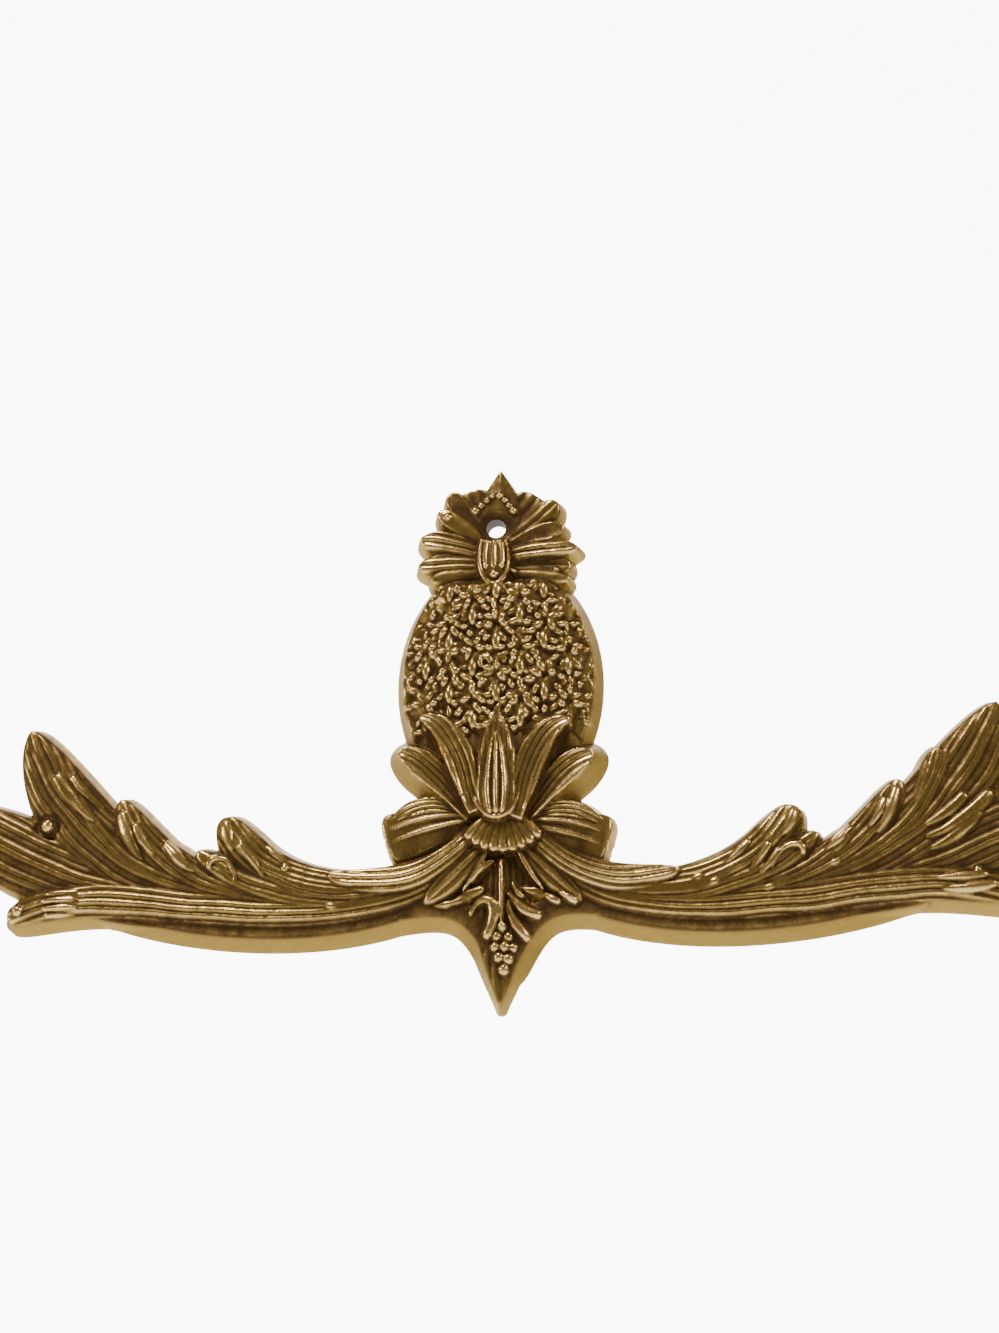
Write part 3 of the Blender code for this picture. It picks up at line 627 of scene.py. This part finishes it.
def add_fruit(relief):
    """The body of the fruit with its staggered rows of fruitlets."""
    bottom = FRUIT_CENTRE_Z - FRUIT_HALF_HEIGHT
    top = FRUIT_CENTRE_Z + FRUIT_HALF_HEIGHT
    path = ((FRUIT_CENTRE_X, bottom), (FRUIT_CENTRE_X, top))
    body = single(path, FRUIT_HALF_WIDTH, 0.5, 0.0, 0.5, FRUIT_EDGE, 0.0, draft=FRUIT_DRAFT)
    relief.add_leaf(body, RIGHT, (0.0, 0.0))
    low = (FRUIT_CENTRE_X - FRUIT_HALF_WIDTH, bottom)
    high = (FRUIT_CENTRE_X + FRUIT_HALF_WIDTH, top)
    where, x, z = relief.window(low, high)
    x, z = x - FRUIT_CENTRE_X, z - FRUIT_CENTRE_Z
    rim = np.clip(np.hypot(x / FRUIT_HALF_WIDTH, z / FRUIT_HALF_HEIGHT), 0, 1)
    skin = scaled_height(x, z) + SCALE_SEAM * rim**SEAM_FADE
    skin = np.where(rim < 1, skin, BELOW)
    relief.height[where] = np.maximum(relief.height[where], skin)
    rng = np.random.default_rng(FRUIT_SEED)
    for row in SCALE_ROWS:
        for column in SCALE_COLUMNS:
            add_fruitlet(relief, (column + 0.5 * (row % 2)) * SCALE_PITCH_X, row * SCALE_PITCH_Z, rng)


def collar():
    """The short ribs that fan out below the bulb."""
    x, z = COLLAR_CENTRE
    for number in range(COLLAR_RIBS):
        angle = math.radians(COLLAR_SPACING * (number - 0.5 * (COLLAR_RIBS - 1)))
        side, down = math.sin(angle), math.cos(angle)
        path = (
            (x + COLLAR_INNER * side, z - COLLAR_INNER * down),
            (x + COLLAR_OUTER * side, z - COLLAR_OUTER * down),
        )
        yield single(path, COLLAR_HALF_WIDTH, 0.8, 0.45, 0.4, COLLAR_EDGE, COLLAR_RISE)


def carve():
    """The whole front as a relief."""
    relief = Relief()
    add_fruit(relief)
    groups = (
        (CROWN, NO_OFFSETS),
        (WING, WING_OFFSETS),
        (DROP, NO_OFFSETS),
        (CALYX, CALYX_OFFSETS),
        (collar(), NO_OFFSETS),
        (BUD, NO_OFFSETS),
    )
    for leaves, offsets in groups:
        for leaf in leaves:
            for side in (RIGHT, LEFT) if leaf.mirrored else (RIGHT,):
                relief.add_leaf(leaf, side, offsets[side])
    ground = blurred(relief.height, GROUND_BLUR)
    for width, rise, path in ROLLS:
        relief.add_roll(path, width, rise, ground)
    for bead_x, bead_z, radius in BEADS:
        relief.add_dome(bead_x, bead_z, 0, radius, radius, ground, BEAD_SHAPE * radius)
    x, z = relief.x[None, :], relief.z[:, None]
    away = np.hypot(x - NAIL_HOLE[0], z - NAIL_HOLE[1]) - NAIL_HOLE_RADIUS
    flat = np.clip(HOLE_SLOPE_END - away / HOLE_SLOPE, 0, 1)
    relief.height += flat * (HOLE_LEVEL - relief.height)
    away = np.hypot(x - EYE[0], z - EYE[1]) - EYE_RADIUS
    relief.height -= EYE_DEPTH * np.exp(-((away / EYE_WIDTH) ** 2))
    relief.height = blurred(relief.height, CAST_BLUR)
    solid = np.clip(relief.height / GRAIN_FADE, 0, 1)
    fine = smooth_noise(x, z, shortest=0.9, longest=2.2, waves=40, seed=11)
    broad = smooth_noise(x, z, shortest=3.0, longest=7.0, waves=24, seed=12)
    relief.height += solid * FINE_GRAIN * fine
    relief.height += solid * BROAD_GRAIN * broad
    return relief


def grid_mesh(relief):
    """A mesh of the relief's cells that hold metal, without those over the nail hole."""
    height = np.maximum(relief.height, SKIRT_BOTTOM)
    keep = height > SKIRT_EDGE
    cells = keep[:-1, :-1] | keep[1:, :-1] | keep[:-1, 1:] | keep[1:, 1:]
    hole_x, hole_z = NAIL_HOLE
    mid_x = relief.x[:-1] + 0.5 * CELL - hole_x
    mid_z = relief.z[:-1] + 0.5 * CELL - hole_z
    cells &= np.hypot(mid_x[None, :], mid_z[:, None]) > NAIL_HOLE_RADIUS
    rows, columns = np.nonzero(cells)
    width = len(relief.x)
    corner = rows * width + columns
    quads = np.stack([corner, corner + 1, corner + width + 1, corner + width], 1)
    used, quads = np.unique(quads, return_inverse=True)
    quads = quads.reshape(-1, 4)
    place = np.stack([relief.x[used % width], -height.ravel()[used], relief.z[used // width]], 1)
    mesh = bpy.data.meshes.new("relief")
    mesh.from_pydata((place * MM).tolist(), [], quads.tolist())
    return mesh


def round_hole(mesh):
    """Draws the nail hole round and runs its wall through to the back."""
    bm = bmesh.new()
    bm.from_mesh(mesh)
    hole = Vector((NAIL_HOLE[0] * MM, 0, NAIL_HOLE[1] * MM))
    radius = NAIL_HOLE_RADIUS * MM
    rim = []
    for edge in bm.edges:
        if edge.is_boundary:
            middle = (edge.verts[0].co + edge.verts[1].co) / 2 - hole
            if math.hypot(middle.x, middle.z) < 2 * radius:
                rim.append(edge)
    for vert in {vert for edge in rim for vert in edge.verts}:
        away = Vector((vert.co.x - hole.x, 0, vert.co.z - hole.z))
        onto = hole + away.normalized() * radius
        vert.co = (onto.x, vert.co.y, onto.z)
    wall = bmesh.ops.extrude_edge_only(bm, edges=rim)["geom"]
    for item in wall:
        if isinstance(item, bmesh.types.BMVert):
            item.co.y = HOLE_OVERRUN * MM
    bm.to_mesh(mesh)
    bm.free()


def close_back(mesh):
    """Cuts the casting off at the wall plane and fills its flat back."""
    bm = bmesh.new()
    bm.from_mesh(mesh)
    everything = [*bm.verts, *bm.edges, *bm.faces]
    bmesh.ops.bisect_plane(
        bm, geom=everything, dist=WALL_PLANE_TOLERANCE, plane_co=(0, 0, 0), plane_no=(0, 1, 0),
        clear_outer=True,
    )
    loops = [edge for edge in bm.edges if edge.is_boundary]
    bmesh.ops.triangle_fill(bm, edges=loops, use_beauty=True, normal=(0, 1, 0))
    bmesh.ops.recalc_face_normals(bm, faces=bm.faces)
    bm.to_mesh(mesh)
    bm.free()


def thin_out(obj, most):
    """Simplifies the object's flattest places, so that it keeps to a number of triangles."""
    count = sum(len(face.vertices) - 2 for face in obj.data.polygons)
    if count > most:
        modifier = obj.modifiers.new("thin_out", "DECIMATE")
        modifier.ratio = most / count
        graph = bpy.context.evaluated_depsgraph_get()
        thin = bpy.data.meshes.new_from_object(obj.evaluated_get(graph))
        obj.modifiers.remove(modifier)
        obj.data = thin


def sample(field, relief, x, z):
    """The field's values at points in millimetres, blended from the four cells around each."""
    column = np.clip((x - relief.x[0]) / CELL, 0, len(relief.x) - 1.001)
    row = np.clip((z - relief.z[0]) / CELL, 0, len(relief.z) - 1.001)
    j, i = column.astype(int), row.astype(int)
    a, b = column - j, row - i
    low = field[i, j] * (1 - a) + field[i, j + 1] * a
    high = field[i + 1, j] * (1 - a) + field[i + 1, j + 1] * a
    return low * (1 - b) + high * b


def back_corners(mesh):
    """Shades the back flat. Tells each face corner's vertex, and whether its face is the back."""
    vertex = np.empty(len(mesh.loops), int)
    mesh.loops.foreach_get("vertex_index", vertex)
    corners = np.empty(len(mesh.polygons), int)
    mesh.polygons.foreach_get("loop_total", corners)
    place = np.empty(3 * len(mesh.vertices))
    mesh.vertices.foreach_get("co", place)
    in_front = place[1::3] < -WALL_PLANE_TOLERANCE
    face = np.repeat(np.arange(len(corners)), corners)
    is_back = np.bincount(face, in_front[vertex]) == 0
    mesh.polygons.foreach_set("use_smooth", ~is_back)
    return vertex, is_back[face]


def store_patina_and_shade(mesh, relief):
    """Keeps on each face corner how dark its patina and painted shade are, and whether it is on a bare
    side wall.

    Dark patina lies in the hollows and on the leaves that lie low, which no hand or cloth has rubbed.
    Painted shade lies along the outline edges, in and round the nail hole and on the walls that face up.
    """
    place = np.empty(3 * len(mesh.vertices))
    mesh.vertices.foreach_get("co", place)
    x, y, z = place.reshape(-1, 3).T / MM
    metal = np.maximum(relief.height, 0)
    covered = relief.covered
    level = np.where(covered > 0.5, metal, np.maximum(metal, RIM_LEVEL))
    broad = blurred(level, BROAD_WIDTH)
    depth = BROAD_DARK * (broad - level) + WIDE_DARK * (blurred(level, WIDE_WIDTH) - level)
    depth += FINE_DARK * (blurred(level, FINE_WIDTH) - level)
    # Painted shade along the outline edges
    rim = np.clip(1 - blurred(covered, EDGE_SHADE_WIDTH), 0, 0.5)
    # Painted shadow in a ring round the nail hole
    from_hole = np.hypot(relief.x[None, :] - NAIL_HOLE[0], relief.z[:, None] - NAIL_HOLE[1])
    hole_shadow = np.exp(-(((from_hole - NAIL_HOLE_RADIUS) / HOLE_SHADOW_WIDTH) ** 2))
    # Painted shade on the walls that face up, near the outline
    slope_z, slope_x = np.gradient(blurred(relief.height, FINE_WIDTH), CELL)
    slope = np.hypot(slope_x, slope_z)
    upward = np.clip(-slope_z / np.maximum(slope, LEAST), 0, 1) * np.clip(slope - LEDGE_SLOPE, 0, 1)
    ledge_shade = upward * np.clip(2 - 2 * blurred(covered, LEDGE_WIDTH), 0, 1)
    low = np.clip((LOW_LEVEL - broad) / LOW_SPREAD, 0, 1)
    patina_and_shade = depth + EDGE_SHADE_DARK * rim + HOLE_SHADOW_DARK * hole_shadow + ledge_shade + LOW_DARK * low
    patina_and_shade = np.clip(patina_and_shade, -1, MOST_DARKENING)
    # Walls that face up take the painted shade in place of the plain wall colour
    bare = (1 - blurred(covered, BARE_WIDTH)) * (1 - ledge_shade)
    patina_and_shade_at = sample(patina_and_shade, relief, x, z)
    bare_at = sample(bare, relief, x, z)
    patina_and_shade_at[y > -BACK_TOLERANCE] = 0.0
    bare_at[y > -BACK_TOLERANCE] = 1.0
    # The nail hole's wall gets the darkest painted shade and none of the plain wall colour
    in_hole = np.hypot(x - NAIL_HOLE[0], z - NAIL_HOLE[1]) < NAIL_HOLE_RADIUS + HOLE_MARGIN
    patina_and_shade_at[in_hole] = 1.0
    bare_at[in_hole] = 0.0
    vertex, on_back = back_corners(mesh)
    values = {
        "patina_and_shade": np.where(on_back, 0.0, patina_and_shade_at[vertex]),
        "bare": np.where(on_back, 1.0, bare_at[vertex]),
    }
    for name, value in values.items():
        attribute = mesh.attributes.new(name, "FLOAT", "CORNER")
        attribute.data.foreach_set("value", value.astype(np.float32))


# Patina and painted shade: colours and values along a place's depth, from 0 where it is rubbed to 1 where
# it is deep or painted in shade
NOISE_ROUGHNESS = 0.55
MOTTLE_SCALE = 170.0
MOTTLE_SHARE = 0.45
FINE_SCALE = 900.0
PIT_SCALE = 420.0
PIT_SHARE = 1.2
BRASS_COLOURS = (
    (0.16, (0.79, 0.555, 0.25)),
    (0.33, (0.36, 0.244, 0.080)),
    (0.50, (0.20, 0.130, 0.043)),
    (0.70, (0.080, 0.045, 0.017)),
    (0.90, (0.020, 0.012, 0.006)),
)
ROUGHNESS = ((0.25, 0.27), (0.5, 0.36), (0.75, 0.5), (0.9, 0.8))
METALLIC = ((0.30, 1.0), (0.56, 0.6), (0.75, 0.6), (0.9, 0.0))
TINT_SHARE = ((0.45, 1.0), (0.60, 0.0))  # the olive tint shows only where it is rubbed
OLIVE = (0.42, 0.33, 0.09)
OLIVE_SCALE = 26.0
OLIVE_START = 0.46
OLIVE_GAIN = 3.0
OLIVE_SHARE = 0.55
ROUGH_SPECKLE = 0.12
WALL_ROUGHER = 0.12
WALL_COLOURS = ((0.3, (0.31, 0.205, 0.047)), (0.7, (0.39, 0.265, 0.066)))  # along the mottling
SPECULAR_TINT = (0.62, 0.50, 0.34, 1.0)
BUMP_STRENGTH = 0.3
BUMP_HEIGHT = 0.0002  # in metres


def new_material(name):
    material = bpy.data.materials.new(name)
    material.use_nodes = True
    tree = material.node_tree
    tree.nodes.clear()
    output = tree.nodes.new("ShaderNodeOutputMaterial")
    shader = tree.nodes.new("ShaderNodeBsdfPrincipled")
    tree.links.new(shader.outputs["BSDF"], output.inputs["Surface"])
    return material, tree, shader


def noise(tree, coordinates, scale, detail=4.0):
    node = tree.nodes.new("ShaderNodeTexNoise")
    node.inputs["Scale"].default_value = scale
    node.inputs["Detail"].default_value = detail
    node.inputs["Roughness"].default_value = NOISE_ROUGHNESS
    tree.links.new(coordinates, node.inputs["Vector"])
    return node.outputs["Fac"]


def attribute(tree, name):
    node = tree.nodes.new("ShaderNodeAttribute")
    node.attribute_name = name
    return node.outputs["Fac"]


def math_node(tree, operation, a, b, clamp=False):
    node = tree.nodes.new("ShaderNodeMath")
    node.operation = operation
    node.use_clamp = clamp
    for socket, value in zip(node.inputs, (a, b)):
        if isinstance(value, (int, float)):
            socket.default_value = value
        else:
            tree.links.new(value, socket)
    return node.outputs[0]


def ramp(tree, value, stops):
    """Colours or plain values along a ramp, from stops of a place and what it has there."""
    node = tree.nodes.new("ShaderNodeValToRGB")
    elements = node.color_ramp.elements
    while len(elements) < len(stops):
        elements.new(0.5)
    for element, (place, colour) in zip(elements, stops):
        element.position = place
        element.color = (*colour, 1.0) if isinstance(colour, tuple) else (colour, colour, colour, 1.0)
    tree.links.new(value, node.inputs["Fac"])
    return node.outputs["Color"]


def mix_colour(tree, factor, a, b):
    node = tree.nodes.new("ShaderNodeMix")
    node.data_type = "RGBA"
    for socket, value in ((node.inputs["Factor"], factor), (node.inputs["A"], a), (node.inputs["B"], b)):
        if isinstance(value, tuple):
            socket.default_value = (*value, 1.0)
        else:
            tree.links.new(value, socket)
    return node.outputs["Result"]


def brass_patina_and_painted_shade():
    """Cast brass with dark patina in its hollows, painted shade along its edges, round the nail hole and
    on walls that face up, rubbed crests and plain side walls.
    """
    material, tree, shader = new_material("brass_patina_and_painted_shade")
    coordinates = tree.nodes.new("ShaderNodeTexCoord").outputs["Object"]
    # How dark each place is from patina and painted shade
    patina_and_shade = attribute(tree, "patina_and_shade")
    bare = attribute(tree, "bare")
    mottle = noise(tree, coordinates, MOTTLE_SCALE)
    fine = noise(tree, coordinates, FINE_SCALE, detail=3.0)
    broad = noise(tree, coordinates, OLIVE_SCALE, detail=2.0)

    uneven = math_node(tree, "MULTIPLY", math_node(tree, "SUBTRACT", mottle, 0.5), MOTTLE_SHARE)
    share = math_node(tree, "ADD", math_node(tree, "MULTIPLY", patina_and_shade, 0.5), 0.5)
    depth = math_node(tree, "ADD", share, uneven)
    brass = ramp(tree, depth, BRASS_COLOURS)
    patch = math_node(tree, "SUBTRACT", broad, OLIVE_START, clamp=True)
    olive = math_node(tree, "MULTIPLY", patch, OLIVE_GAIN, clamp=True)
    tinted = mix_colour(tree, math_node(tree, "MULTIPLY", olive, OLIVE_SHARE), brass, OLIVE)
    brass = mix_colour(tree, ramp(tree, depth, TINT_SHARE), brass, tinted)
    wall = ramp(tree, mottle, WALL_COLOURS)
    tree.links.new(mix_colour(tree, bare, brass, wall), shader.inputs["Base Color"])

    speckle = math_node(tree, "MULTIPLY", math_node(tree, "SUBTRACT", fine, 0.5), ROUGH_SPECKLE)
    rough = math_node(tree, "ADD", ramp(tree, depth, ROUGHNESS), speckle)
    rough = math_node(tree, "ADD", rough, math_node(tree, "MULTIPLY", bare, WALL_ROUGHER))
    tree.links.new(rough, shader.inputs["Roughness"])
    tree.links.new(ramp(tree, depth, METALLIC), shader.inputs["Metallic"])
    shader.inputs["Specular Tint"].default_value = SPECULAR_TINT

    bump = tree.nodes.new("ShaderNodeBump")
    bump.inputs["Strength"].default_value = BUMP_STRENGTH
    bump.inputs["Distance"].default_value = BUMP_HEIGHT
    pitted = math_node(tree, "MULTIPLY", noise(tree, coordinates, PIT_SCALE), PIT_SHARE)
    tree.links.new(math_node(tree, "ADD", fine, pitted), bump.inputs["Height"])
    tree.links.new(bump.outputs["Normal"], shader.inputs["Normal"])
    return material


def casting():
    """The visible casting, which stands for the CAD solid."""
    relief = carve()
    mesh = grid_mesh(relief)
    round_hole(mesh)
    obj = bpy.data.objects.new("casting", mesh)
    bpy.context.scene.collection.objects.link(obj)
    thin_out(obj, MOST_TRIANGLES)
    close_back(obj.data)
    obj.data.name = "casting"
    obj.data.shade_smooth()
    obj.data.set_sharp_from_angle(angle=math.radians(SHARP_ANGLE))
    store_patina_and_shade(obj.data, relief)
    obj.data.materials.clear()
    obj.data.materials.append(brass_patina_and_painted_shade())
    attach(obj, "root")
    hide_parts("pineapple_pediment")


# Camera, from the photograph: in front, a little to the right and looking up
CAMERA_TARGET = Vector((-0.8, -5.0, 0.0)) * MM
CAMERA_DISTANCE = 530 * MM
CAMERA_AZIMUTH = math.radians(6.41)
CAMERA_ELEVATION = math.radians(-17.0)
CAMERA_ROLL = math.radians(-0.18)
CAMERA_LENS = 54.74


def add_camera():
    """The camera at the photograph's viewing angle."""
    flat = math.cos(CAMERA_ELEVATION)
    back = Vector((
        math.sin(CAMERA_AZIMUTH) * flat,
        -math.cos(CAMERA_AZIMUTH) * flat,
        math.sin(CAMERA_ELEVATION),
    ))
    right = (-back).cross(Vector((0, 0, 1))).normalized()
    up = right.cross(-back)
    cos, sin = math.cos(CAMERA_ROLL), math.sin(CAMERA_ROLL)
    turn = Matrix((cos * right + sin * up, cos * up - sin * right, back)).transposed()
    data = bpy.data.cameras.new("camera")
    data.lens = CAMERA_LENS
    camera = bpy.data.objects.new("camera", data)
    camera.matrix_world = Matrix.Translation(CAMERA_TARGET + back * CAMERA_DISTANCE) @ turn.to_4x4()
    bpy.context.scene.collection.objects.link(camera)
    bpy.context.scene.camera = camera


# The studio, in metres
FLOOR_Z = -0.50
SWEEP_FRONT = -1.2
SWEEP_Y = 0.75
SWEEP_BEND = 0.30
SWEEP_STEPS = 12
SWEEP_TOP = 1.3
SWEEP_HALF_LENGTH = 1.6
SWEEP_COLOUR = (0.80, 0.79, 0.76)
SWEEP_GLOW = 0.05
PANEL_X = -0.07
PANEL_Y = 0.60
PANEL_BOTTOM = -0.42
PANEL_TOP = 0.86
PANEL_HALF_LENGTH = 0.5
PANEL_COLOUR = (0.9, 0.9, 0.9)
PANEL_GLOW = 9.0
PAPER_GRAIN = 300.0
ROOM_COLOUR = (0.25, 0.21, 0.13, 1.0)
ROOM_GLOW = 0.8
LIGHT_AIM = (0.0, 0.0, -0.02)

# Lights: name, place, size, power and colour
LIGHTS = (
    ("key", (-0.30, -0.60, 1.10), 0.38, 13.6, (1.0, 0.92, 0.80)),
    ("side", (1.05, -0.45, 0.45), 0.34, 5.2, (1.0, 0.91, 0.78)),
    ("far_side", (-1.05, -0.40, 0.10), 0.34, 3.8, (1.0, 0.91, 0.78)),
)


def add_light(name, place, size, power, colour):
    data = bpy.data.lights.new(name, "AREA")
    data.shape = "DISK"
    data.size = size
    data.energy = power
    data.color = colour
    light = bpy.data.objects.new(name, data)
    light.location = place
    direction = Vector(LIGHT_AIM) - light.location
    light.rotation_euler = direction.to_track_quat("-Z", "Y").to_euler()
    bpy.context.scene.collection.objects.link(light)


def add_sheet(name, profile, half_length, colour, glow, middle=0.0):
    """A sheet of paper along x with this profile in y and z, and how much light it gives off."""
    material, tree, shader = new_material(name)
    grain = noise(tree, tree.nodes.new("ShaderNodeTexCoord").outputs["Object"], PAPER_GRAIN)
    tree.links.new(ramp(tree, grain, ((0.0, 0.82), (1.0, 0.96))), shader.inputs["Roughness"])
    shader.inputs["Base Color"].default_value = (*colour, 1.0)
    shader.inputs["Emission Color"].default_value = (1.0, 1.0, 1.0, 1.0)
    shader.inputs["Emission Strength"].default_value = glow
    bm = bmesh.new()
    rows = [[bm.verts.new((middle + x, y, z)) for x in (-half_length, half_length)] for y, z in profile]
    for low, high in zip(rows, rows[1:]):
        bm.faces.new((low[0], low[1], high[1], high[0]))
    mesh = bpy.data.meshes.new(name)
    bm.to_mesh(mesh)
    bm.free()
    mesh.shade_smooth()
    mesh.materials.append(material)
    sheet = bpy.data.objects.new(name, mesh)
    bpy.context.scene.collection.objects.link(sheet)


def add_studio():
    """A pale floor that sweeps up, a lit white panel behind, soft lights and a dim room."""
    profile = [(SWEEP_FRONT, FLOOR_Z), (SWEEP_Y - SWEEP_BEND, FLOOR_Z)]
    for step in range(1, SWEEP_STEPS + 1):
        angle = 0.5 * math.pi * step / SWEEP_STEPS
        y = SWEEP_Y + SWEEP_BEND * (math.sin(angle) - 1)
        profile.append((y, FLOOR_Z + SWEEP_BEND * (1 - math.cos(angle))))
    profile.append((SWEEP_Y, SWEEP_TOP))
    add_sheet("sweep", profile, SWEEP_HALF_LENGTH, SWEEP_COLOUR, SWEEP_GLOW)
    panel = [(PANEL_Y, PANEL_BOTTOM), (PANEL_Y, PANEL_TOP)]
    add_sheet("panel", panel, PANEL_HALF_LENGTH, PANEL_COLOUR, PANEL_GLOW, middle=PANEL_X)

    for values in LIGHTS:
        add_light(*values)
    world = bpy.data.worlds.new("room")
    world.use_nodes = True
    background = world.node_tree.nodes["Background"]
    background.inputs["Color"].default_value = ROOM_COLOUR
    background.inputs["Strength"].default_value = ROOM_GLOW
    bpy.context.scene.world = world


add_camera()
add_studio()
casting()
